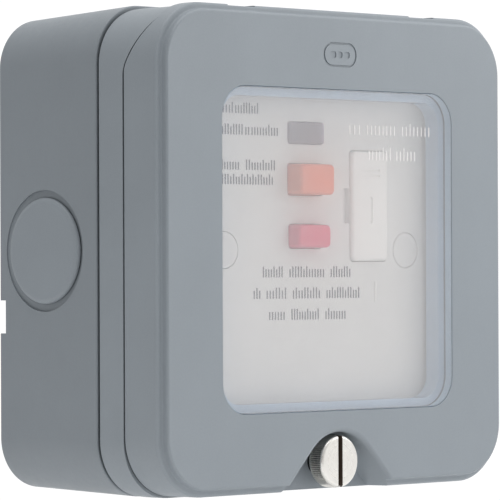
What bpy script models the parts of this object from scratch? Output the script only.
"""Weatherproof fused connection unit with a residual current device behind a hinged window.

Frame: the origin is the centre of the back face, +Z is up, +X is right seen from the front,
and the front faces -Y. A "depth" is a distance in front of the back face, so y = -depth.
"""
import math

import bmesh
import bpy
from mathutils import Matrix, Vector

MM = 0.001
GAP = 0.3 * MM

# Outline of the case, seen from the front
SIDE = 114.0 * MM
HALF = SIDE / 2
CORNER = 13.4 * MM
CORNER_STEPS = 6
SPRING_STEPS = 10

# Enclosure layers, as depths
BOX_FRONT = 36.0 * MM
FRAME_BACK = 36.8 * MM
FRAME_FRONT = 45.1 * MM
LID_BACK = 45.5 * MM
LID_SHOULDER = 56.4 * MM
LID_FRONT = 58.3 * MM

# Back box
DRAFT = 1.2 * MM
BOX_WALL = 2.6 * MM
BOX_FLOOR = 2.8 * MM
SCREW_POST = 48.8 * MM

# Cable entries: the flat recess, the hole in it and the plug's cap
ENTRY_DEPTH = 16.9 * MM
ENTRY_FACE = 55.6 * MM
ENTRY_RING_RADIUS = 14.2 * MM
ENTRY_HOLE_RADIUS = 10.2 * MM
PLUG_RADIUS = 12.4 * MM
PLUG_PROUD = 1.1 * MM
ENTRIES = {
    "entry_left": Vector((-1, 0, 0)),
    "entry_right": Vector((1, 0, 0)),
    "entry_bottom": Vector((0, 0, -1)),
}

# Front frame: its top stands lower than the box and the lid, to clear the opening lid
FRAME_WALL = 3.0 * MM
FRAME_PLATE = 2.5 * MM
FRAME_TOP_DROP = 1.3 * MM
OPENING_HALF = 36.0 * MM

# Lid hinge, along X at the top of the lid
HINGE_DEPTH = 54.4 * MM
HINGE_Z = 54.4 * MM
LID_SWEEP = HALF - HINGE_Z
LID_OPEN_ANGLE = math.radians(90)
LUG_X = 30.0 * MM
LUG_WIDTH = 8.0 * MM
LUG_RADIUS = 1.9 * MM
PIN_RADIUS = 0.8 * MM
PIN_LENGTH = 14.0 * MM

# The joint between frame and lid leans forward near the top: (depth, z) where it starts and
# where it meets the lid's round edge
LEAN_START = (45.3 * MM, 41.2 * MM)
LEAN_END = (52.25 * MM, 52.9 * MM)
BROW_FRONT = 53.0 * MM
JOINT_GAP = LID_BACK - FRAME_FRONT

# Window and the tunnel behind it
WINDOW_HALF_X = 38.15 * MM
WINDOW_HALF_Z = 37.75 * MM
WINDOW_CORNER = 7.4 * MM
WINDOW_THICKNESS = 2.5 * MM
WINDOW_LEDGE = 0.95 * MM

# Thumbscrew and its arched notch
SCREW_Z = -49.8 * MM
SCREW_HEAD_RADIUS = 6.25 * MM
SCREW_FRONT = 57.9 * MM
NOTCH_FLOOR = 50.4 * MM
NOTCH_RADIUS = 7.3 * MM
NOTCH_FLARE = 17.0 * MM
# What the notch gains between its floor and its mouth
ARCH_WIDENING = 2.1 * MM
ARCH_DROP = 1.4 * MM
FLARE_WIDENING = 1.6 * MM
BOSS_HALF = 19.5 * MM

# Accessory plate and the module behind it
PLATE_HALF = 43.0 * MM
PLATE_FRONT = 50.3 * MM
PLATE_SKIN = 2.2 * MM
PLATE_BACK = 45.4 * MM
FIXING_X = 30.15 * MM
CAP_RADIUS = 4.25 * MM
HOUSING_HALF_X = 24.8 * MM
HOUSING_HALF_Z = 33.6 * MM
HOUSING_WALL = 1.5 * MM
HOUSING_BACK = 20.0 * MM
HOUSING_FRONT = 47.8 * MM

# Control column: x, z, width and height of each opening's occupant
COLUMN_X = -3.8 * MM
LENS = (COLUMN_X, 27.7 * MM, 11.3 * MM, 5.1 * MM)
RESET = (COLUMN_X, 16.7 * MM, 11.5 * MM, 7.4 * MM)
TEST = (COLUMN_X, 3.3 * MM, 10.9 * MM, 5.6 * MM)
CARRIER = (17.3 * MM, 10.6 * MM, 12.2 * MM, 26.4 * MM)
LEVER_SLOT = (9.9 * MM, 10.7 * MM, 1.8 * MM, 8.4 * MM)

# Mechanism behind the plate
CARRIAGE_Z = (-3.0 * MM, 2.0 * MM)
FLAG_PIVOT = (-13.5 * MM, 5.0 * MM)
FLAG_PEG_X = 0.5 * MM
LATCH_PIVOT = (8.5 * MM, -12.0 * MM)
LATCH_SLOPE = ((2.8 * MM, -3.0 * MM), (4.0 * MM, 0.0))
LATCH_CLEARANCE = 0.43 * MM
TRIP_X = 15.5 * MM
TRIP_DEPTH = 31.2 * MM
FUSE_RADIUS = 3.15 * MM
FUSE_LENGTH = 25.4 * MM
FUSE_DEPTH = 42.0 * MM
TERMINALS = {
    "line_in": (-15.0 * MM, 24.0 * MM),
    "neutral_in": (15.0 * MM, 24.0 * MM),
    "line_out": (-15.0 * MM, -24.0 * MM),
    "neutral_out": (15.0 * MM, -24.0 * MM),
    "earth": (0.0, -24.0 * MM),
}


def clear_scene():
    for item in list(bpy.data.objects):
        bpy.data.objects.remove(item, do_unlink=True)


def make_material(name, colour, roughness, metallic=0.0, alpha=1.0):
    material = bpy.data.materials.new(name)
    material.use_nodes = True
    shader = material.node_tree.nodes["Principled BSDF"]
    shader.inputs["Base Color"].default_value = (*colour, 1.0)
    shader.inputs["Roughness"].default_value = roughness
    shader.inputs["Metallic"].default_value = metallic
    shader.inputs["Alpha"].default_value = alpha
    return material


# ---------------------------------------------------------------- shapes


def finish_object(name, bm, material, location=(0, 0, 0), rotation=(0, 0, 0)):
    """Turns a bmesh into a placed object with its normals out and its round faces smooth."""
    bmesh.ops.recalc_face_normals(bm, faces=bm.faces)
    mesh = bpy.data.meshes.new(name)
    bm.to_mesh(mesh)
    bm.free()
    mesh.shade_smooth()
    mesh.set_sharp_from_angle(angle=math.radians(30))
    if material:
        mesh.materials.append(material)
    item = bpy.data.objects.new(name, mesh)
    item.location = location
    item.rotation_euler = rotation
    bpy.context.scene.collection.objects.link(item)
    return item


def rounded_outline(half_x, half_z, radius, steps=CORNER_STEPS, centre=(0, 0)):
    """(x, z) points round a rounded rectangle."""
    points = []
    corners = ((1, 1, 0), (-1, 1, 90), (-1, -1, 180), (1, -1, 270))
    for side_x, side_z, start in corners:
        for step in range(steps + 1):
            angle = math.radians(start + 90 * step / steps)
            x = centre[0] + side_x * (half_x - radius) + radius * math.cos(angle)
            z = centre[1] + side_z * (half_z - radius) + radius * math.sin(angle)
            points.append((x, z))
    return points


def skin_loops(bm, loops, ring):
    """Joins loops of points with quads, into a ring or into a body with two end caps."""
    rows = [[bm.verts.new(point) for point in loop] for loop in loops]
    pairs = list(zip(rows, rows[1:]))
    if ring:
        pairs.append((rows[-1], rows[0]))
    count = len(rows[0])
    for first, second in pairs:
        for i in range(count):
            j = (i + 1) % count
            bm.faces.new((first[i], first[j], second[j], second[i]))
    if not ring:
        bm.faces.new(rows[0])
        bm.faces.new(rows[-1])


def swept(name, profile, material, half=(HALF, HALF), radius=CORNER, ring=False,
          centre=(0, 0), steps=CORNER_STEPS, least_radius=2.0 * MM):
    """Runs a profile of (inset, depth) points round a rounded rectangle."""
    bm = bmesh.new()
    loops = []
    for inset, depth in profile:
        corner = max(radius - inset, min(radius, least_radius))
        flat = rounded_outline(half[0] - inset, half[1] - inset, corner, steps, centre)
        loops.append([(x, -depth, z) for x, z in flat])
    skin_loops(bm, loops, ring)
    return finish_object(name, bm, material)


def turned(name, profile, material, location=(0, 0, 0), rotation=(math.pi / 2, 0, 0),
           sides=20, ring=False):
    """Turns a profile of (radius, height) points about local Z, which points to the front."""
    bm = bmesh.new()
    loops = []
    for radius, height in profile:
        loop = []
        for i in range(sides):
            angle = math.tau * i / sides
            loop.append((radius * math.cos(angle), radius * math.sin(angle), height))
        loops.append(loop)
    skin_loops(bm, loops, ring)
    return finish_object(name, bm, material, location, rotation)


def block(name, x, depth, z, material=None, bevel=0.0):
    """A box between two x values, two depths and two z values, with bevelled edges."""
    size = (x[1] - x[0], depth[1] - depth[0], z[1] - z[0])
    bm = bmesh.new()
    bmesh.ops.create_cube(bm, size=1.0, matrix=Matrix.Diagonal((*size, 1.0)))
    if bevel:
        bmesh.ops.bevel(bm, geom=bm.edges[:], offset=bevel, segments=1, profile=0.5,
                        affect="EDGES")
    centre = (sum(x) / 2, -sum(depth) / 2, sum(z) / 2)
    return finish_object(name, bm, material, centre)


def prism(name, points, low, high, material=None, along="Y"):
    """Extrudes an outline: (x, z) points through depths, or (depth, z) points along X."""
    bm = bmesh.new()
    if along == "Y":
        loops = [[(x, -level, z) for x, z in points] for level in (low, high)]
    else:
        loops = [[(level, -depth, z) for depth, z in points] for level in (low, high)]
    skin_loops(bm, loops, ring=False)
    return finish_object(name, bm, material)


def rod(name, radius, start, end, material=None, sides=16):
    """A plain round bar from one point to another."""
    start, end = Vector(start), Vector(end)
    direction = end - start
    rotation = direction.to_track_quat("Z", "Y").to_euler()
    profile = ((radius, 0.0), (radius, direction.length))
    return turned(name, profile, material, start, rotation, sides)


def bore(name, radius, x, z, low, high, sides=16):
    """A cutter for a round hole along the depth direction."""
    return rod(name, radius, (x, -low, z), (x, -high, z), None, sides)


def coil_spring(name, start, end, radius, wire, turns, material):
    """A helical spring from start to end, with one close turn at each end."""
    start, end = Vector(start), Vector(end)
    close_pitch = 2.2 * wire
    open_rise = (end - start).length - 2 * wire - 2 * close_pitch
    steps = turns * SPRING_STEPS
    curve = bpy.data.curves.new(name, "CURVE")
    curve.dimensions = "3D"
    curve.bevel_depth = wire
    curve.bevel_resolution = 0
    curve.use_fill_caps = True
    spline = curve.splines.new("POLY")
    spline.points.add(steps)
    for i, point in enumerate(spline.points):
        turn = i / SPRING_STEPS
        share = min(max((turn - 1) / (turns - 2), 0.0), 1.0)
        closed = min(turn, 1.0) + max(turn - turns + 1, 0.0)
        height = wire + close_pitch * closed + open_rise * share
        angle = math.tau * turn
        point.co = (radius * math.cos(angle), radius * math.sin(angle), height, 1.0)
    curve.materials.append(material)
    item = bpy.data.objects.new(name, curve)
    item.location = start
    item.rotation_euler = (end - start).to_track_quat("Z", "Y").to_euler()
    bpy.context.scene.collection.objects.link(item)
    return item


def helper(item):
    item.hide_render = True
    item.display_type = "WIRE"
    return item


def add_boolean(item, tool, operation):
    modifier = item.modifiers.new(tool.name, "BOOLEAN")
    modifier.operation = operation
    modifier.solver = "EXACT"
    modifier.object = helper(tool)


def cut(item, *tools):
    for tool in tools:
        add_boolean(item, tool, "DIFFERENCE")


def join(item, *tools):
    for tool in tools:
        add_boolean(item, tool, "UNION")


def corners_of(distance):
    return [(x, z) for x in (-distance, distance) for z in (-distance, distance)]


def opening(spec, clearance=GAP):
    """(x range, z range) of an opening that clears its occupant all round."""
    x, z, width, height = spec
    half_x, half_z = width / 2 + clearance, height / 2 + clearance
    return (x - half_x, x + half_x), (z - half_z, z + half_z)


# ---------------------------------------------------------------- enclosure


def build_box(grey):
    profile = (
        (DRAFT + 1.0 * MM, 0.0),
        (DRAFT + 0.3 * MM, 0.3 * MM),
        (DRAFT - 0.03 * MM, 1.0 * MM),
        (0.02 * MM, BOX_FRONT - 0.5 * MM),
        (0.3 * MM, BOX_FRONT),
        (1.5 * MM, BOX_FRONT),
        (1.5 * MM, BOX_FRONT - 1.1 * MM),
        (FRAME_WALL + 0.2 * MM, BOX_FRONT - 1.1 * MM),
        (DRAFT + BOX_WALL, BOX_FLOOR + 0.8 * MM),
        (DRAFT + BOX_WALL + 0.8 * MM, BOX_FLOOR),
    )
    box = swept("back_box", profile, grey)
    for i, (x, z) in enumerate(corners_of(SCREW_POST)):
        post = rod(f"box_post_{i}", 4.2 * MM, (x, -1.5 * MM, z), (x, -34.6 * MM, z))
        join(box, post)
    for i, (x, z) in enumerate(corners_of(SCREW_POST)):
        cut(box, bore(f"box_pilot_{i}", 1.8 * MM, x, z, 18.0 * MM, 36.0 * MM))
    for i, (x, z) in enumerate(corners_of(36.0 * MM)):
        cut(box, bore(f"wall_hole_{i}", 2.6 * MM, x, z, -1.0 * MM, 5.0 * MM))
    for name, direction in ENTRIES.items():
        hole = entry_rod(f"{name}_hole", ENTRY_HOLE_RADIUS, direction, 45.0 * MM, 60.0 * MM)
        seat = entry_rod(f"{name}_seat", ENTRY_RING_RADIUS, direction, ENTRY_FACE, 60.0 * MM)
        cut(box, hole, seat)
    for side in (-1, 1):
        ends = sorted((side * 52.0 * MM, side * 60.0 * MM))
        drain = block(f"rear_notch_{side}", ends, (-1.0 * MM, 2.2 * MM),
                      (-19.4 * MM, -11.6 * MM))
        cut(box, drain)
    return box


def entry_rod(name, radius, direction, low, high):
    centre = Vector((0, -ENTRY_DEPTH, 0))
    return rod(name, radius, centre + direction * low, centre + direction * high, None, 32)


def build_entry_plugs(grey):
    """Push-in blanking plugs: a rounded cap on a hollow shank with a snap lip."""
    shank = ENTRY_HOLE_RADIUS - GAP
    profile = (
        (0.4 * MM, PLUG_PROUD),
        (PLUG_RADIUS - 1.5 * MM, PLUG_PROUD),
        (PLUG_RADIUS - 0.6 * MM, PLUG_PROUD - 0.15 * MM),
        (PLUG_RADIUS - 0.15 * MM, PLUG_PROUD - 0.5 * MM),
        (PLUG_RADIUS, GAP),
        (shank, GAP),
        (shank, -3.6 * MM),
        (shank + 0.5 * MM, -4.1 * MM),
        (shank - 0.5 * MM, -5.2 * MM),
        (shank - 1.5 * MM, -5.2 * MM),
        (shank - 1.5 * MM, -0.6 * MM),
        (0.4 * MM, -0.6 * MM),
    )
    for name, direction in ENTRIES.items():
        place = Vector((0, -ENTRY_DEPTH, 0)) + direction * ENTRY_FACE
        rotation = direction.to_track_quat("Z", "Y").to_euler()
        turned(f"{name}_plug", profile, grey, place, rotation, 24)


def build_frame(grey):
    """The front frame that carries the plate, the hinge lugs and the lid's nut."""
    groove = (11.5 * MM, 13.0 * MM)
    edge = HALF - OPENING_HALF
    profile = (
        (0.3 * MM, FRAME_BACK),
        (0.0, FRAME_BACK + 0.4 * MM),
        (0.0, BROW_FRONT),
        (FRAME_WALL, BROW_FRONT),
        (FRAME_WALL, FRAME_FRONT),
        (groove[0], FRAME_FRONT),
        (groove[0], FRAME_FRONT - 1.2 * MM),
        (groove[1], FRAME_FRONT - 1.2 * MM),
        (groove[1], FRAME_FRONT),
        (edge, FRAME_FRONT),
        (edge, FRAME_FRONT - FRAME_PLATE),
        (FRAME_WALL, FRAME_FRONT - FRAME_PLATE),
        (FRAME_WALL, FRAME_BACK),
    )
    half = (HALF, HALF - FRAME_TOP_DROP / 2)
    centre = (0, -FRAME_TOP_DROP / 2)
    frame = swept("front_frame", profile, grey, half, ring=True, centre=centre)
    plate_back = FRAME_FRONT - FRAME_PLATE
    for i, (x, z) in enumerate(corners_of(SCREW_POST)):
        start, end = (x, -37.0 * MM, z), (x, -plate_back - 0.5 * MM, z)
        join(frame, rod(f"frame_post_{i}", 4.4 * MM, start, end))
    boss = rod("insert_boss", 5.6 * MM, (0, -37.0 * MM, SCREW_Z),
               (0, -plate_back - 0.5 * MM, SCREW_Z))
    join(frame, boss)
    for side in (-1, 1):
        ends = sorted((side * 26.0 * MM, side * 38.0 * MM))
        lug = block(f"fixing_lug_{side}", ends, (38.0 * MM, FRAME_FRONT),
                    (-5.0 * MM, 5.0 * MM))
        join(frame, lug)
    cut(frame, frame_face(), *hinge_relief())
    for side in (-1, 1):
        join(frame, hinge_lug(side))
    for i, (x, z) in enumerate(corners_of(SCREW_POST)):
        cut(frame, bore(f"head_seat_{i}", 3.4 * MM, x, z, plate_back, 50.0 * MM))
        cut(frame, bore(f"frame_hole_{i}", 1.9 * MM, x, z, 30.0 * MM, 44.0 * MM))
    cut(frame, bore("insert_bore", 3.9 * MM, 0, SCREW_Z, 38.0 * MM, 50.0 * MM))
    for side in (-1, 1):
        cut(frame, bore(f"fixing_hole_{side}", 2.0 * MM, side * FIXING_X, 0,
                        30.0 * MM, 50.0 * MM))
        start = (side * (LUG_X - LUG_WIDTH), -HINGE_DEPTH, HINGE_Z)
        end = (side * (LUG_X + LUG_WIDTH), -HINGE_DEPTH, HINGE_Z)
        cut(frame, rod(f"lug_bore_{side}", PIN_RADIUS + GAP, start, end))
    return frame


def lean_line(shift):
    """(depth, z) points of the leaning joint, moved forward square to itself."""
    run = LEAN_END[0] - LEAN_START[0]
    rise = LEAN_END[1] - LEAN_START[1]
    length = math.hypot(run, rise)
    forward, up = shift * rise / length, -shift * run / length
    return [(depth + forward, z + up) for depth, z in (LEAN_START, LEAN_END)]


def frame_face():
    """All that lies in front of the frame: level with its face, then leaning with the brow."""
    start, end = lean_line(-JOINT_GAP / 2)
    run = (end[0] - start[0]) / (end[1] - start[1])
    kink = start[1] + (FRAME_FRONT - start[0]) / run
    far = LID_FRONT + 5.0 * MM
    points = (
        (FRAME_FRONT, -SIDE),
        (FRAME_FRONT, kink),
        end,
        (end[0] + run * (HALF - end[1]), HALF),
        (far, HALF),
        (far, -SIDE),
    )
    return prism("frame_face", points, -SIDE, SIDE, along="X")


def hinge_relief():
    """Room in the frame's brow for the lid's round rear edge and its top face."""
    reach = HALF + MM
    sweep = LID_SWEEP + GAP
    scoop = rod("relief_scoop", sweep, (-reach, -HINGE_DEPTH, HINGE_Z),
                (reach, -HINGE_DEPTH, HINGE_Z), None, 32)
    points = []
    for forward, up in ((-0.5 * MM, 0.0), (15.0 * MM, 0.0), (15.0 * MM, sweep),
                        (-0.5 * MM, sweep)):
        turned_depth = forward * math.cos(LID_OPEN_ANGLE) - up * math.sin(LID_OPEN_ANGLE)
        turned_up = forward * math.sin(LID_OPEN_ANGLE) + up * math.cos(LID_OPEN_ANGLE)
        points.append((HINGE_DEPTH + turned_depth, HINGE_Z + turned_up))
    slope = prism("relief_slope", points, -reach, reach, along="X")
    return scoop, slope


def hinge_lug(side):
    """A hinge lug: a flat arm from the frame with a round nose about the pin."""
    root, top = 43.0 * MM, HALF - FRAME_TOP_DROP
    points = [(root, HINGE_Z - LUG_RADIUS)]
    last = 180 - math.degrees(math.asin((top - HINGE_Z) / LUG_RADIUS))
    for step in range(15):
        angle = math.radians(-90 + (last + 90) * step / 14)
        points.append((HINGE_DEPTH + LUG_RADIUS * math.cos(angle),
                       HINGE_Z + LUG_RADIUS * math.sin(angle)))
    points.append((root, top))
    low, high = sorted((side * (LUG_X - LUG_WIDTH / 2), side * (LUG_X + LUG_WIDTH / 2)))
    return prism(f"hinge_lug_{side}", points, low, high, along="X")


def build_lid(grey):
    profile = (
        (0.3 * MM, LID_BACK),
        (0.0, LID_BACK + 0.4 * MM),
        (0.25 * MM, LID_SHOULDER - 0.8 * MM),
        (0.45 * MM, LID_SHOULDER - 0.2 * MM),
        (0.8 * MM, LID_SHOULDER),
        (1.25 * MM, LID_SHOULDER + 0.1 * MM),
        (1.6 * MM, LID_SHOULDER + 0.6 * MM),
        (1.75 * MM, LID_FRONT - 0.5 * MM),
        (1.95 * MM, LID_FRONT - 0.12 * MM),
        (2.3 * MM, LID_FRONT),
    )
    lid = swept("lid", profile, grey)
    cut(lid, lid_cavity(), plate_clearance(), window_tunnel(), window_seat())
    cut(lid, rear_edge_trim(), screw_notch())
    for side in (-1, 1):
        low, high = sorted((side * (LUG_X - LUG_WIDTH / 2 - GAP),
                            side * (LUG_X + LUG_WIDTH / 2 + GAP)))
        arm_top = HALF - FRAME_TOP_DROP - HINGE_Z
        slot = block(f"hinge_slot_{side}", (low, high),
                     (44.0 * MM, HINGE_DEPTH),
                     (HINGE_Z - LUG_RADIUS - GAP, 60.0 * MM))
        throat = block(f"hinge_throat_{side}", (low, high),
                       (HINGE_DEPTH - MM, HINGE_DEPTH + arm_top + GAP),
                       (HINGE_Z, 60.0 * MM))
        nose = rod(f"hinge_nose_{side}", LUG_RADIUS + GAP,
                   (low, -HINGE_DEPTH, HINGE_Z), (high, -HINGE_DEPTH, HINGE_Z), None, 24)
        half = PIN_LENGTH / 2 + GAP
        pin_bore = rod(f"pin_bore_{side}", PIN_RADIUS + GAP,
                       (side * LUG_X - half, -HINGE_DEPTH, HINGE_Z),
                       (side * LUG_X + half, -HINGE_DEPTH, HINGE_Z))
        cut(lid, slot, throat, nose, pin_bore)
    cut(lid, bore("shank_hole", 2.3 * MM, 0, SCREW_Z, 44.0 * MM, 55.0 * MM))
    cut(lid, bore("washer_pocket", 4.3 * MM, 0, SCREW_Z, 44.0 * MM, 48.5 * MM))
    cut(lid, bore("seal_pocket", 3.6 * MM, 0, SCREW_Z, 49.3 * MM, 55.0 * MM))
    return lid


def lid_cavity():
    """The hollow between the lid's outer wall and the tunnel, clear of the screw's boss."""
    low, high = -54.4 * MM, 50.2 * MM
    outline = rounded_outline(54.4 * MM, (high - low) / 2, 10.8 * MM,
                              centre=(0, (high + low) / 2))
    cavity = prism("lid_cavity", outline, 44.0 * MM, LID_FRONT - 2.8 * MM)
    tunnel = rounded_outline(39.4 * MM, 39.0 * MM, 8.5 * MM)
    keep_tunnel = prism("keep_tunnel", tunnel, 40.0 * MM, 62.0 * MM)
    keep_boss = block("keep_boss", (-BOSS_HALF, BOSS_HALF), (40.0 * MM, 62.0 * MM),
                      (-60.0 * MM, -41.5 * MM))
    cut(cavity, keep_tunnel, keep_boss)
    return cavity


def plate_clearance():
    outline = rounded_outline(PLATE_HALF + 1.0 * MM, PLATE_HALF + 1.0 * MM, 4.5 * MM)
    return prism("plate_clearance", outline, 43.0 * MM, PLATE_FRONT + 0.7 * MM)


def window_tunnel():
    outline = rounded_outline(WINDOW_HALF_X - WINDOW_LEDGE, WINDOW_HALF_Z - WINDOW_LEDGE,
                              WINDOW_CORNER - WINDOW_LEDGE)
    return prism("window_tunnel", outline, 43.0 * MM, 60.0 * MM)


def window_seat():
    outline = rounded_outline(WINDOW_HALF_X + GAP, WINDOW_HALF_Z + GAP, WINDOW_CORNER + GAP)
    return prism("window_seat", outline, LID_FRONT - WINDOW_THICKNESS - GAP, 60.0 * MM)


def rear_edge_trim():
    """All that lies behind the lid near its top: the leaning joint, then a round edge about
    the hinge."""
    start, end = lean_line(JOINT_GAP / 2)
    run = (end[0] - start[0]) / (end[1] - start[1])
    behind = LID_BACK - 2.0 * MM
    above = HALF + 2.0 * MM
    points = [(behind, start[1] - (start[0] - behind) / run), end]
    first = math.degrees(math.asin((end[1] - HINGE_Z) / LID_SWEEP))
    for step in range(11):
        angle = math.radians(first + (90 - first) * step / 10)
        points.append((HINGE_DEPTH - LID_SWEEP * math.cos(angle),
                       HINGE_Z + LID_SWEEP * math.sin(angle)))
    points.append((HINGE_DEPTH, above))
    points.append((behind, above))
    return prism("rear_edge_trim", points, -HALF - MM, HALF + MM, along="X")


def notch_outline(share):
    """An arch about the thumbscrew whose straight sides flare out to the lid's lower edge.
    The share is nought at the notch's floor and one at its mouth."""
    radius = NOTCH_RADIUS + share * ARCH_WIDENING
    centre = SCREW_Z - share * ARCH_DROP
    foot = (NOTCH_FLARE + share * FLARE_WIDENING, -HALF - centre)
    distance = math.hypot(*foot)
    tangent = math.atan2(foot[1], foot[0]) + math.acos(radius / distance)
    points = []
    for step in range(15):
        angle = tangent + (math.pi - 2 * tangent) * step / 14
        points.append((radius * math.cos(angle), centre + radius * math.sin(angle)))
    slope = (foot[0] - points[0][0]) / (foot[1] + centre - points[0][1])
    below = -HALF - 2.0 * MM
    end = points[0][0] + slope * (below - points[0][1])
    return points + [(-end, below), (end, below)]


def screw_notch():
    """The notch about the thumbscrew, wider at its mouth than at its floor."""
    mouth = LID_FRONT + MM
    last = (mouth - NOTCH_FLOOR) / (LID_FRONT - NOTCH_FLOOR)
    bm = bmesh.new()
    loops = []
    for depth, share in ((NOTCH_FLOOR, 0.0), (mouth, last)):
        loops.append([(x, -depth, z) for x, z in notch_outline(share)])
    skin_loops(bm, loops, ring=False)
    return finish_object("screw_notch", bm, None)


def build_window(clear):
    profile = (
        (0.3 * MM, LID_FRONT - WINDOW_THICKNESS),
        (0.0, LID_FRONT - WINDOW_THICKNESS + 0.3 * MM),
        (0.0, LID_FRONT - 0.25 * MM),
        (0.25 * MM, LID_FRONT),
    )
    swept("window", profile, clear, (WINDOW_HALF_X, WINDOW_HALF_Z), WINDOW_CORNER)


def build_seals(black):
    box_gasket = (
        (1.8 * MM, 35.2 * MM),
        (1.8 * MM, 36.5 * MM),
        (2.9 * MM, 36.5 * MM),
        (2.9 * MM, 35.2 * MM),
    )
    swept("box_gasket", box_gasket, black, ring=True)
    lid_gasket = (
        (11.8 * MM, FRAME_FRONT - 0.9 * MM),
        (11.8 * MM, FRAME_FRONT + 0.1 * MM),
        (12.7 * MM, FRAME_FRONT + 0.1 * MM),
        (12.7 * MM, FRAME_FRONT - 0.9 * MM),
    )
    half = (HALF, HALF - FRAME_TOP_DROP / 2)
    swept("lid_gasket", lid_gasket, black, half, ring=True, centre=(0, -FRAME_TOP_DROP / 2))
    collar = (
        (2.6 * MM, 49.6 * MM),
        (3.3 * MM, 49.6 * MM),
        (3.3 * MM, 50.3 * MM),
        (2.6 * MM, 50.3 * MM),
    )
    turned("thumbscrew_seal", collar, black, (0, 0, SCREW_Z), ring=True, sides=16)


def build_hinge_pins(steel):
    for side, name in ((-1, "hinge_pin_left"), (1, "hinge_pin_right")):
        start = (side * LUG_X - PIN_LENGTH / 2, -HINGE_DEPTH, HINGE_Z)
        end = (side * LUG_X + PIN_LENGTH / 2, -HINGE_DEPTH, HINGE_Z)
        rod(name, PIN_RADIUS, start, end, steel, 16)


def build_thumbscrew(nickel, steel, brass):
    head = SCREW_HEAD_RADIUS
    profile = (
        (1.5 * MM, 42.8 * MM),
        (1.9 * MM, 43.2 * MM),
        (1.9 * MM, 45.3 * MM),
        (1.5 * MM, 45.3 * MM),
        (1.5 * MM, 46.7 * MM),
        (1.9 * MM, 46.7 * MM),
        (1.9 * MM, 50.8 * MM),
        (3.6 * MM, 50.8 * MM),
        (3.6 * MM, 53.4 * MM),
        (head - 0.35 * MM, 53.4 * MM),
        (head, 53.75 * MM),
        (head, SCREW_FRONT - 0.35 * MM),
        (head - 0.35 * MM, SCREW_FRONT),
        (0.5 * MM, SCREW_FRONT),
    )
    screw = turned("thumbscrew", profile, nickel, (0, 0, SCREW_Z), sides=28)
    slot = block("driver_slot", (-0.63 * MM, 0.63 * MM), (SCREW_FRONT - 1.6 * MM, 60.0 * MM),
                 (SCREW_Z - 9.0 * MM, SCREW_Z + 9.0 * MM))
    cut(screw, slot)
    washer = ((1.8 * MM, 45.7 * MM), (3.9 * MM, 45.7 * MM), (3.9 * MM, 46.3 * MM),
              (1.8 * MM, 46.3 * MM))
    turned("retaining_washer", washer, steel, (0, 0, SCREW_Z), ring=True)
    insert = ((2.2 * MM, 38.4 * MM), (3.6 * MM, 38.4 * MM), (3.6 * MM, 44.8 * MM),
              (2.2 * MM, 44.8 * MM))
    turned("threaded_insert", insert, brass, (0, 0, SCREW_Z), ring=True)


def build_frame_screws(steel):
    profile = (
        (0.9 * MM, 20.0 * MM),
        (1.5 * MM, 21.0 * MM),
        (1.5 * MM, 42.9 * MM),
        (3.0 * MM, 42.9 * MM),
        (3.0 * MM, 44.3 * MM),
        (2.2 * MM, 44.9 * MM),
        (0.4 * MM, 44.9 * MM),
    )
    for i, (x, z) in enumerate(corners_of(SCREW_POST)):
        screw = turned(f"frame_screw_{i + 1}", profile, steel, (x, 0, z), sides=14)
        slot = block(f"frame_screw_slot_{i}", (x - 0.4 * MM, x + 0.4 * MM),
                     (43.9 * MM, 46.0 * MM), (z - 4.0 * MM, z + 4.0 * MM))
        cut(screw, slot)


# ---------------------------------------------------------------- plate and module


def build_plate(white):
    profile = (
        (0.9 * MM, PLATE_FRONT),
        (0.25 * MM, PLATE_FRONT - 0.25 * MM),
        (0.0, PLATE_FRONT - 0.9 * MM),
        (0.0, PLATE_BACK),
        (PLATE_SKIN, PLATE_BACK),
        (PLATE_SKIN, PLATE_FRONT - PLATE_SKIN),
    )
    plate = swept("faceplate", profile, white, (PLATE_HALF, PLATE_HALF), 4.0 * MM,
                  steps=3, least_radius=1.8 * MM)
    for side in (-1, 1):
        x = side * FIXING_X
        boss = rod(f"plate_boss_{side}", 5.0 * MM, (x, -PLATE_BACK, 0), (x, -49.0 * MM, 0))
        join(plate, boss)
    for side in (-1, 1):
        x = side * FIXING_X
        cut(plate, bore(f"cap_seat_{side}", CAP_RADIUS + GAP, x, 0, 46.2 * MM, 55.0 * MM))
        cut(plate, bore(f"plate_hole_{side}", 2.0 * MM, x, 0, 40.0 * MM, 50.0 * MM))
    for name, spec in (("lens", LENS), ("reset", RESET), ("test", TEST),
                       ("carrier", CARRIER)):
        cut(plate, block(f"{name}_opening", opening(spec)[0], (44.0 * MM, 55.0 * MM),
                         opening(spec)[1]))
    slot_x, slot_z = opening(LEVER_SLOT, 0.0)
    cut(plate, block("lever_slot", slot_x, (PLATE_FRONT - 1.2 * MM, 55.0 * MM), slot_z))
    return plate


def build_plate_fixings(steel, white):
    screw_profile = (
        (1.1 * MM, 32.0 * MM),
        (1.7 * MM, 33.0 * MM),
        (1.7 * MM, 46.5 * MM),
        (3.4 * MM, 46.5 * MM),
        (3.4 * MM, 47.9 * MM),
        (2.4 * MM, 48.5 * MM),
        (0.4 * MM, 48.5 * MM),
    )
    cap_profile = (
        (0.5 * MM, 48.8 * MM),
        (CAP_RADIUS - 0.2 * MM, 48.8 * MM),
        (CAP_RADIUS, 49.0 * MM),
        (CAP_RADIUS, PLATE_FRONT - 0.1 * MM),
        (CAP_RADIUS - 0.3 * MM, PLATE_FRONT + 0.1 * MM),
        (0.5 * MM, PLATE_FRONT + 0.1 * MM),
    )
    for side, label in ((-1, "left"), (1, "right")):
        place = (side * FIXING_X, 0, 0)
        turned(f"plate_screw_{label}", screw_profile, steel, place, sides=14)
        turned(f"screw_cap_{label}", cap_profile, white, place, sides=20)


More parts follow.
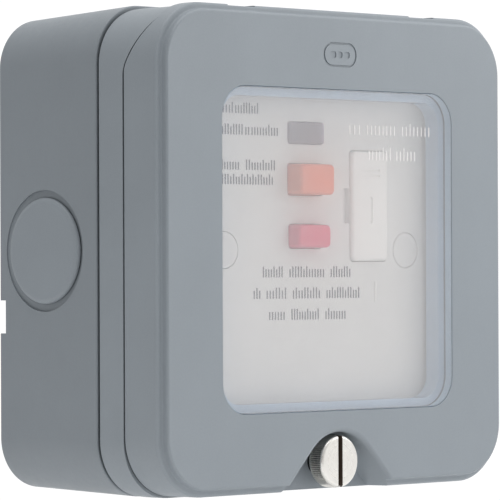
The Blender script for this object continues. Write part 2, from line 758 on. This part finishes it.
def build_housing(cream):
    profile = (
        (0.5 * MM, HOUSING_BACK),
        (0.0, HOUSING_BACK + 0.5 * MM),
        (0.0, HOUSING_FRONT),
        (HOUSING_WALL, HOUSING_FRONT),
        (HOUSING_WALL, HOUSING_BACK + HOUSING_WALL),
    )
    housing = swept("module_housing", profile, cream, (HOUSING_HALF_X, HOUSING_HALF_Z),
                    2.0 * MM, steps=3, least_radius=0.8 * MM)
    floor = HOUSING_BACK + 0.5 * MM
    tower = block("spring_tower", (-9.8 * MM, 2.2 * MM), (floor, 38.6 * MM),
                  (13.2 * MM, 20.2 * MM))
    shelf = block("test_shelf", (-8.0 * MM, 0.4 * MM), (36.6 * MM, 38.6 * MM),
                  (-1.0 * MM, 14.0 * MM))
    stop = block("spring_stop", (-7.0 * MM, -0.5 * MM), (floor, 33.6 * MM),
                 (11.6 * MM, 14.0 * MM))
    posts = (
        bore("flag_post", 1.2 * MM, *FLAG_PIVOT, floor, 42.9 * MM, 16),
        bore("latch_post", 1.2 * MM, *LATCH_PIVOT, floor, 34.6 * MM, 16),
    )
    rails = []
    for name, x in (("left", -14.7 * MM), ("right", 4.4 * MM)):
        rails.append(block(f"carriage_rail_{name}", (x, x + 1.6 * MM), (floor, 27.0 * MM),
                           (-7.0 * MM, 4.0 * MM)))
    join(housing, tower, shelf, stop, *posts, *rails)
    cut(housing, bore("reset_guide", 1.8 * MM, RESET[0], RESET[1], 30.0 * MM, 45.0 * MM, 12))
    cut(housing, bore("test_guide", 1.8 * MM, TEST[0], TEST[1], 30.0 * MM, 45.0 * MM, 12))
    return housing


def build_button(name, spec, front, stem_end, material):
    """A push button: a rounded head, a flange behind the plate and a guide stem."""
    x, z, width, height = spec
    half_x, half_z = width / 2, height / 2
    head = block(name, (x - half_x, x + half_x), (HOUSING_FRONT - GAP - 1.0 * MM, front),
                 (z - half_z, z + half_z), material, 0.8 * MM)
    flange = block(f"{name}_flange", (x - half_x - 1.0 * MM, x + half_x + 1.0 * MM),
                   (46.4 * MM, PLATE_FRONT - PLATE_SKIN - GAP),
                   (z - half_z - 0.8 * MM, z + half_z + 0.8 * MM))
    stem = bore(f"{name}_stem", 1.4 * MM, x, z, stem_end, 47.0 * MM, 12)
    join(head, flange, stem)
    return head


def build_controls(orange, crimson, smoke, steel):
    build_button("reset_button", RESET, PLATE_FRONT + 4.5 * MM, 36.0 * MM, orange)
    build_button("test_button", TEST, PLATE_FRONT + 3.5 * MM, 38.0 * MM, crimson)
    for name, spec in (("reset_spring", RESET), ("test_spring", TEST)):
        x, z = spec[:2]
        coil_spring(name, (x, -38.9 * MM, z), (x, -46.1 * MM, z), 2.3 * MM, 0.25 * MM, 5,
                    steel)
    x, z, width, height = LENS
    lens = block("indicator_lens", (x - width / 2, x + width / 2),
                 (42.6 * MM, PLATE_FRONT + 1.0 * MM), (z - height / 2, z + height / 2),
                 smoke, 0.5 * MM)
    rim = block("lens_rim", (x - width / 2 - 0.8 * MM, x + width / 2 + 0.8 * MM),
                (46.4 * MM, PLATE_FRONT - PLATE_SKIN - GAP),
                (z - height / 2 - 0.7 * MM, z + height / 2 + 0.7 * MM))
    join(lens, rim)


def build_flag(red):
    """The ON/OFF flag: a plate behind the lens on a rocker that the carriage's peg turns."""
    pivot_x, pivot_z = FLAG_PIVOT
    flag = block("indicator_flag", (-15.5 * MM, 3.0 * MM), (41.2 * MM, 42.2 * MM),
                 (23.0 * MM, 30.8 * MM), red)
    arm = block("flag_arm", (pivot_x - 1.75 * MM, pivot_x + 1.75 * MM),
                (41.2 * MM, 42.2 * MM), (pivot_z, 23.5 * MM))
    hub = bore("flag_hub", 2.6 * MM, pivot_x, pivot_z, 33.7 * MM, 42.2 * MM)
    fork = block("flag_fork", (pivot_x, 3.0 * MM), (33.7 * MM, 35.0 * MM),
                 (pivot_z - 2.7 * MM, pivot_z + 2.7 * MM))
    join(flag, arm, hub, fork)
    cut(flag, bore("flag_bore", 1.5 * MM, pivot_x, pivot_z, 30.0 * MM, 45.0 * MM, 12))
    cut(flag, block("fork_slot", (-4.0 * MM, 5.0 * MM), (33.0 * MM, 36.0 * MM),
                    (pivot_z - 1.35 * MM, pivot_z + 1.35 * MM)))
    return flag


def build_contacts(black, brass, silver, steel):
    """The carriage with its two moving contacts, the fixed contacts and the spring."""
    low, high = CARRIAGE_Z
    carriage = block("contact_carriage", (-12.0 * MM, 4.0 * MM), (27.6 * MM, 33.0 * MM),
                     (low, high), black, 0.4 * MM)
    peg_z = FLAG_PIVOT[1]
    riser = block("peg_riser", (-0.9 * MM, 2.0 * MM), (31.0 * MM, 33.2 * MM),
                  (high - 1.0 * MM, peg_z + 1.0 * MM))
    peg = bore("carriage_peg", 1.0 * MM, FLAG_PEG_X, peg_z, 32.0 * MM, 35.4 * MM, 12)
    join(carriage, riser, peg)
    low_end, high_end = LATCH_SLOPE
    run = (high_end[0] - low_end[0]) / (high_end[1] - low_end[1])
    below = low - 0.5 * MM
    slope_points = (
        (low_end[0] + run * (below - low_end[1]), below),
        high_end,
        (high_end[0] + 2.0 * MM, high_end[1]),
        (high_end[0] + 2.0 * MM, below),
    )
    cut(carriage, prism("carriage_slope", slope_points, 26.0 * MM, 34.0 * MM))
    poles = (("line", -10.3 * MM), ("neutral", 2.9 * MM))
    for name, x in poles:
        pad = ((0.3 * MM, 0.0), (1.0 * MM, 0.0), (1.0 * MM, 0.5 * MM), (0.3 * MM, 0.7 * MM))
        turned(f"moving_contact_{name}", pad, silver, (x, -29.2 * MM, high + GAP),
               (0, 0, 0), 10)
        strip = block(f"fixed_contact_{name}", (x - 1.0 * MM, x + 1.0 * MM),
                      (23.0 * MM, 30.6 * MM), (high + 1.3 * MM, high + 2.1 * MM), brass)
        leg = block(f"contact_leg_{name}", (x - 1.0 * MM, x + 1.0 * MM),
                    (HOUSING_BACK + HOUSING_WALL + GAP, 23.8 * MM),
                    (high + 1.3 * MM, high + 8.0 * MM))
        join(strip, leg)
    coil_spring("contact_spring", (COLUMN_X, -30.3 * MM, high + GAP),
                (COLUMN_X, -30.3 * MM, 11.6 * MM - GAP), 1.9 * MM, 0.25 * MM, 6, steel)


def build_trip(copper, steel, black):
    """The trip coil, its plunger and the latch lever that holds the carriage."""
    x, depth = TRIP_X, TRIP_DEPTH
    bobbin = (
        (1.5 * MM, 0.0),
        (5.4 * MM, 0.0),
        (5.4 * MM, 1.0 * MM),
        (4.6 * MM, 1.0 * MM),
        (4.6 * MM, 12.0 * MM),
        (5.4 * MM, 12.0 * MM),
        (5.4 * MM, 13.0 * MM),
        (1.5 * MM, 13.0 * MM),
    )
    turned("trip_coil", bobbin, copper, (x, -depth, -30.5 * MM), (0, 0, 0), 20, ring=True)
    plunger = (
        (0.4 * MM, -25.0 * MM),
        (1.1 * MM, -25.0 * MM),
        (1.1 * MM, -10.6 * MM),
        (2.6 * MM, -10.6 * MM),
        (2.6 * MM, -9.2 * MM),
        (0.4 * MM, -9.2 * MM),
    )
    turned("trip_plunger", plunger, steel, (x, -depth, 0), (0, 0, 0), 14)
    pivot_x, pivot_z = LATCH_PIVOT
    low, high = depth - 2.4 * MM, depth + 2.4 * MM
    lever = block("latch_lever", (pivot_x, x + 3.0 * MM), (low, high),
                  (pivot_z - 0.6 * MM, pivot_z + 0.9 * MM), black)
    hub = bore("latch_hub", 2.6 * MM, pivot_x, pivot_z, low, high)
    run = (LATCH_SLOPE[1][0] - LATCH_SLOPE[0][0]) / (LATCH_SLOPE[1][1] - LATCH_SLOPE[0][1])
    flank = [(LATCH_SLOPE[0][0] + LATCH_CLEARANCE + run * (z - LATCH_SLOPE[0][1]), z)
             for z in (-3.2 * MM, -0.6 * MM)]
    points = (
        (pivot_x - 2.3 * MM, pivot_z),
        (3.4 * MM, -4.2 * MM),
        *flank,
        (5.0 * MM, -0.6 * MM),
        (6.4 * MM, -4.0 * MM),
        (pivot_x + 1.5 * MM, pivot_z + 1.4 * MM),
    )
    hook = prism("latch_hook", points, low, high)
    join(lever, hub, hook)
    cut(lever, bore("latch_bore", 1.5 * MM, pivot_x, pivot_z, 20.0 * MM, 45.0 * MM, 12))
    cut(lever, block("latch_fork", (x - 1.7 * MM, x + 5.0 * MM),
                     (depth - 1.4 * MM, depth + 1.4 * MM),
                     (pivot_z - 5.0 * MM, pivot_z + 5.0 * MM)))
    return lever


def build_electronics(green, ferrite):
    block("circuit_board", (-22.5 * MM, 22.5 * MM), (23.4 * MM, 25.0 * MM),
          (-31.4 * MM, -15.2 * MM), green)
    core = (
        (3.4 * MM, 25.3 * MM),
        (7.0 * MM, 25.3 * MM),
        (7.6 * MM, 25.9 * MM),
        (7.6 * MM, 31.4 * MM),
        (7.0 * MM, 32.0 * MM),
        (3.4 * MM, 32.0 * MM),
        (2.8 * MM, 31.4 * MM),
        (2.8 * MM, 25.9 * MM),
    )
    turned("sensing_toroid", core, ferrite, (-10.0 * MM, 0, -23.3 * MM), sides=20, ring=True)


def build_fuse_way(white, ceramic, brass):
    """The pull-out fuse carrier with its cartridge fuse and the two spring clips."""
    x, z, width, height = CARRIER
    flange = block("fuse_carrier", (x - width / 2, x + width / 2),
                   (48.4 * MM, PLATE_FRONT + 0.9 * MM), (z - height / 2, z + height / 2),
                   white, 0.5 * MM)
    body = block("carrier_body", (x - 4.9 * MM, x + 4.9 * MM), (38.2 * MM, 49.0 * MM),
                 (z - 7.6 * MM, z + 7.6 * MM))
    join(flange, body)
    channel = rod("fuse_channel", FUSE_RADIUS + GAP, (x, -FUSE_DEPTH, z - 15.0 * MM),
                  (x, -FUSE_DEPTH, z + 15.0 * MM), None, 20)
    cut(flange, channel)
    half = FUSE_LENGTH / 2
    thin = FUSE_RADIUS - 0.25 * MM
    profile = (
        (FUSE_RADIUS - 0.4 * MM, -half),
        (FUSE_RADIUS, -half + 0.4 * MM),
        (FUSE_RADIUS, -half + 6.0 * MM),
        (thin, -half + 6.0 * MM),
        (thin, half - 6.0 * MM),
        (FUSE_RADIUS, half - 6.0 * MM),
        (FUSE_RADIUS, half - 0.4 * MM),
        (FUSE_RADIUS - 0.4 * MM, half),
    )
    turned("fuse", profile, ceramic, (x, -FUSE_DEPTH, z), (0, 0, 0), 20)
    inner = FUSE_RADIUS + GAP
    outer = inner + 0.6 * MM
    base = FUSE_DEPTH - inner
    for name, centre in (("top", z + half - 2.6 * MM), ("bottom", z - half + 2.6 * MM)):
        ends = (centre - 1.8 * MM, centre + 1.8 * MM)
        clip = block(f"fuse_clip_{name}", (x - outer, x + outer), (base - 0.6 * MM, base),
                     ends, brass)
        for side in (-1, 1):
            arm_x = sorted((x + side * inner, x + side * outer))
            arm = block(f"clip_arm_{name}_{side}", arm_x,
                        (base - 0.6 * MM, FUSE_DEPTH + 1.5 * MM), ends)
            join(clip, arm)
        leg = block(f"clip_leg_{name}", (x - 1.5 * MM, x + 1.5 * MM),
                    (HOUSING_BACK + HOUSING_WALL + GAP, base - 0.3 * MM),
                    (centre - 0.4 * MM, centre + 0.4 * MM))
        join(clip, leg)


def build_terminals(brass, steel):
    """Pillar terminals on the module's rear face, with screws that face the wall."""
    for name, (x, z) in TERMINALS.items():
        pillar = block(f"terminal_{name}", (x - 3.6 * MM, x + 3.6 * MM),
                       (11.6 * MM, HOUSING_BACK - GAP), (z - 4.2 * MM, z + 4.2 * MM),
                       brass, 0.3 * MM)
        wire_hole = rod(f"wire_hole_{name}", 2.0 * MM, (x, -16.2 * MM, z - 6.0 * MM),
                        (x, -16.2 * MM, z + 6.0 * MM), None, 12)
        cut(pillar, wire_hole, bore(f"tap_hole_{name}", 1.6 * MM, x, z, 10.0 * MM, 15.5 * MM, 12))
        profile = (
            (0.4 * MM, 9.6 * MM),
            (2.2 * MM, 9.6 * MM),
            (2.2 * MM, 11.2 * MM),
            (1.3 * MM, 11.2 * MM),
            (1.3 * MM, 13.8 * MM),
            (0.4 * MM, 14.2 * MM),
        )
        turned(f"terminal_screw_{name}", profile, steel, (x, 0, z), sides=12)


def main():
    clear_scene()
    grey = make_material("enclosure_grey", (0.24, 0.28, 0.31), 0.42)
    white = make_material("plate_white", (0.78, 0.78, 0.76), 0.35)
    cream = make_material("module_cream", (0.72, 0.70, 0.64), 0.45)
    black = make_material("seal_black", (0.02, 0.02, 0.022), 0.7)
    moulded = make_material("mechanism_black", (0.03, 0.03, 0.035), 0.5)
    clear = make_material("window_clear", (0.86, 0.89, 0.91), 0.2, alpha=0.35)
    nickel = make_material("thumbscrew_nickel", (0.80, 0.78, 0.74), 0.3, 1.0)
    steel = make_material("steel", (0.60, 0.60, 0.60), 0.35, 1.0)
    brass = make_material("brass", (0.72, 0.52, 0.22), 0.35, 1.0)
    silver = make_material("contact_silver", (0.85, 0.84, 0.82), 0.25, 1.0)
    copper = make_material("winding_copper", (0.62, 0.27, 0.12), 0.4, 1.0)
    orange = make_material("button_orange", (0.80, 0.20, 0.10), 0.4)
    crimson = make_material("button_crimson", (0.72, 0.06, 0.13), 0.4)
    smoke = make_material("lens_smoke", (0.45, 0.42, 0.45), 0.15, alpha=0.5)
    red = make_material("flag_red", (0.55, 0.05, 0.05), 0.5)
    green = make_material("board_green", (0.03, 0.16, 0.06), 0.4)
    ferrite = make_material("toroid_winding", (0.08, 0.07, 0.06), 0.6)
    ceramic = make_material("fuse_ceramic", (0.80, 0.79, 0.75), 0.3)

    build_box(grey)
    build_entry_plugs(grey)
    build_frame(grey)
    build_frame_screws(steel)
    build_lid(grey)
    build_window(clear)
    build_seals(black)
    build_hinge_pins(steel)
    build_thumbscrew(nickel, steel, brass)
    build_plate(white)
    build_plate_fixings(steel, white)
    build_housing(cream)
    build_controls(orange, crimson, smoke, steel)
    build_flag(red)
    build_contacts(moulded, brass, silver, steel)
    build_trip(copper, steel, moulded)
    build_electronics(green, ferrite)
    build_fuse_way(white, ceramic, brass)
    build_terminals(brass, steel)


main()
